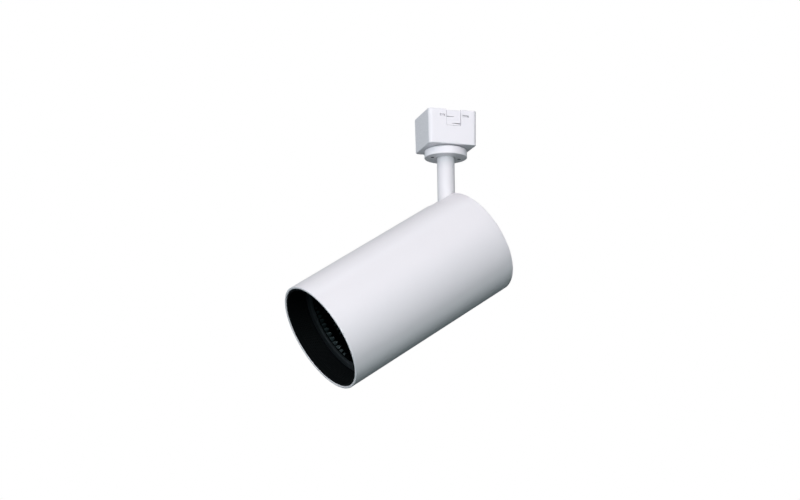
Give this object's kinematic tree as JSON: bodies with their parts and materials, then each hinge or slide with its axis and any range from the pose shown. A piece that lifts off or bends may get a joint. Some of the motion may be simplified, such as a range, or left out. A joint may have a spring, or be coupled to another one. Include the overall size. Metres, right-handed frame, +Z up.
{
  "type": "track spotlight",
  "caption": "White cylindrical track spotlight: a track adapter, a stem that pans, and a head that tilts, with a black snoot around a faceted reflector.",
  "frame": {"origin": "centre of the adapter's top face, which seats on the underside of the track", "axes": "+Z up into the track along the stem, -Y out of the adapter face with the latch slider; at rest the mouth points towards -X and down"},
  "size_m": [0.164, 0.0935, 0.2064],
  "materials": {
    "white_paint": "satin white powder coat",
    "white_plastic": "smooth moulded white plastic",
    "black_plastic": "matt black moulded plastic",
    "ring_black": "satin black trim ring",
    "dark_mirror": "smoked bright metallised facets",
    "copper": "bare copper alloy",
    "zinc_steel": "zinc-plated steel",
    "black_steel": "blackened steel screws",
    "aluminium": "bare extruded aluminium",
    "board_green": "green solder mask",
    "transformer_tape": "yellow winding tape",
    "ceramic_white": "white ceramic",
    "phosphor": "yellow phosphor gel",
    "lead_sheath": "grey cable sheath"
  },
  "bodies": {
    "adapter": {"adapter_housing": "white_plastic", "contact_carrier": "white_plastic", "live_contact": "copper", "neutral_contact": "copper", "earth_contact": "copper", "terminal_block": "black_plastic", "terminal_screw_left": "zinc_steel", "terminal_screw_right": "zinc_steel", "swivel_disc": "white_plastic", "disc_screw_left": "black_steel", "disc_screw_right": "black_steel", "stop_pin": "zinc_steel"},
    "latch": {"latch_slider": "white_plastic"},
    "stem": {"stem_tube": "white_paint", "stem_knuckle": "zinc_steel", "knuckle_pin_left": "zinc_steel", "knuckle_pin_right": "zinc_steel", "stem_lead": "lead_sheath", "wave_washer": "zinc_steel", "stop_collar": "zinc_steel", "stem_nut": "zinc_steel"},
    "head": {"body_tube": "white_paint", "rear_cap": "white_paint", "rear_cap_screw_1": "white_paint", "rear_cap_screw_2": "white_paint", "rear_cap_screw_3": "white_paint", "driver_case": "black_plastic", "driver_cover": "black_plastic", "led_holder": "black_plastic", "glare_sleeve": "black_plastic", "friction_washer_left": "black_plastic", "friction_washer_right": "black_plastic", "reflector_ring": "ring_black", "reflector": "dark_mirror", "set_screw_upper": "zinc_steel", "set_screw_lower": "zinc_steel", "rear_post_1": "zinc_steel", "rear_post_2": "zinc_steel", "rear_post_3": "zinc_steel", "hinge_bracket": "zinc_steel", "bracket_screw_top": "zinc_steel", "bracket_screw_bottom": "zinc_steel", "pivot_bolt": "zinc_steel", "spring_washer": "zinc_steel", "pivot_nut": "zinc_steel", "bulkhead": "zinc_steel", "sink_post_1": "zinc_steel", "sink_post_2": "zinc_steel", "sink_post_3": "zinc_steel", "holder_screw_left": "zinc_steel", "holder_screw_right": "zinc_steel", "heat_sink": "aluminium", "driver_board": "board_green", "driver_transformer": "transformer_tape", "led_board": "ceramic_white", "led_emitter": "phosphor"}
  },
  "joints": [
    {"name": "pan", "type": "hinge", "parent": "adapter", "child": "stem", "pos_m": [0, 0, -0.029], "axis": [0, 0, 1], "range_deg": [-173, 159.8]},
    {"name": "tilt", "type": "hinge", "parent": "stem", "child": "head", "pos_m": [0, 0, -0.0806], "axis": [0.1149, -0.9934, 0], "range_deg": [-32.4, 57.6]},
    {"name": "latch_slide", "type": "slide", "parent": "adapter", "child": "latch", "axis": [0, 0, 1], "range_m": [0, 0.0024]}
  ]
}
